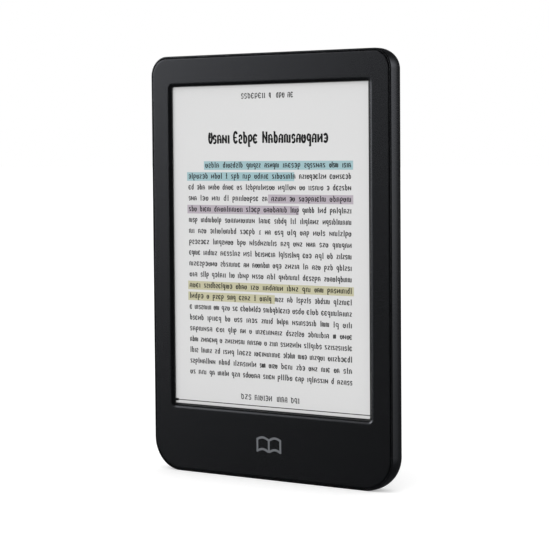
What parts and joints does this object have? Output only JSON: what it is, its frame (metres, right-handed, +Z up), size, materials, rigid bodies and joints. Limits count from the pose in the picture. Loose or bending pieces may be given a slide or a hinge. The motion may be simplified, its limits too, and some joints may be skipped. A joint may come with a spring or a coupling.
{
  "type": "e-reader",
  "caption": "Handheld e-reader with a recessed electronic-paper page, a round-backed plastic case, a rear power button and a charging port.",
  "frame": {"origin": "centre of the bottom edge, midway between the front and the back of the case", "axes": "+X towards the reader's right as someone reads it, +Z up the page, and the page faces -Y"},
  "size_m": [0.112, 0.0092, 0.16],
  "materials": {
    "case_black": "fine-grained moulded polycarbonate, near black",
    "button_black": "moulded button cap, slightly smoother than the case",
    "foam": "black closed-cell foam",
    "seal_rubber": "moulded silicone seal",
    "page": "matte anti-glare cover film over a pale grey electronic page",
    "clear_guide": "clear acrylic light guide",
    "electrophoretic_film": "matte electronic-paper film",
    "backplane_glass": "thin-film-transistor backplane glass",
    "frame_metal": "pressed magnesium-like frame, satin",
    "board_mask": "glass-epoxy board with a green solder mask",
    "chip": "moulded epoxy package",
    "tinned_steel": "tinned pressed steel",
    "connector_plastic": "natural connector plastic",
    "polyimide_flex": "amber polyimide flexible circuit",
    "battery_pouch": "aluminium-laminate pouch",
    "tape": "black double-sided tape",
    "light_pipe": "translucent moulded light pipe",
    "screw_steel": "blackened steel screw"
  },
  "bodies": {
    "case": {"rear_shell": "case_black", "front_bezel": "case_black", "bezel_gasket": "foam", "touch_panel": "page", "light_guide": "clear_guide", "paper_film": "electrophoretic_film", "backplane_glass": "backplane_glass", "front_light_strip": "connector_plastic", "panel_driver_chip": "chip", "mid_frame": "frame_metal", "main_board": "board_mask", "processor": "chip", "memory_chip": "chip", "storage_chip": "chip", "wireless_module": "tinned_steel", "power_chip": "chip", "display_inductor": "chip", "cover_sensor": "chip", "status_led": "light_pipe", "display_connector": "connector_plastic", "touch_connector": "connector_plastic", "light_connector": "connector_plastic", "battery_connector": "connector_plastic", "shield_can": "tinned_steel", "display_flex": "polyimide_flex", "touch_flex": "polyimide_flex", "light_flex": "polyimide_flex", "power_switch": "tinned_steel", "button_gasket": "seal_rubber", "status_light_pipe": "light_pipe", "port_shell": "tinned_steel", "port_tongue": "chip", "port_seal": "seal_rubber", "battery_cell": "battery_pouch", "battery_tape_left": "tape", "battery_tape_right": "tape", "battery_guard_board": "board_mask", "battery_flex": "polyimide_flex", "wireless_antenna": "polyimide_flex", "board_screw_1": "screw_steel", "board_screw_2": "screw_steel", "board_screw_3": "screw_steel", "board_screw_4": "screw_steel", "frame_screw_1": "screw_steel", "frame_screw_2": "screw_steel", "frame_screw_3": "screw_steel", "frame_screw_4": "screw_steel", "frame_screw_5": "screw_steel"},
    "power_button": {"power_button": "button_black"},
    "switch_plunger": {"switch_plunger": "chip"}
  },
  "joints": [
    {"name": "power_button_press", "type": "slide", "parent": "case", "child": "power_button", "axis": [0, -1, 0], "range_m": [0, 0.0003], "stiffness_N_per_m": 4000, "springref_m": -0.0001},
    {"name": "switch_plunger_press", "type": "slide", "parent": "case", "child": "switch_plunger", "axis": [0, -1, 0], "range_m": [0, 0.0003]}
  ],
  "couplings": [
    {"joint": "switch_plunger_press", "follows": "power_button_press", "ratio": 1}
  ]
}
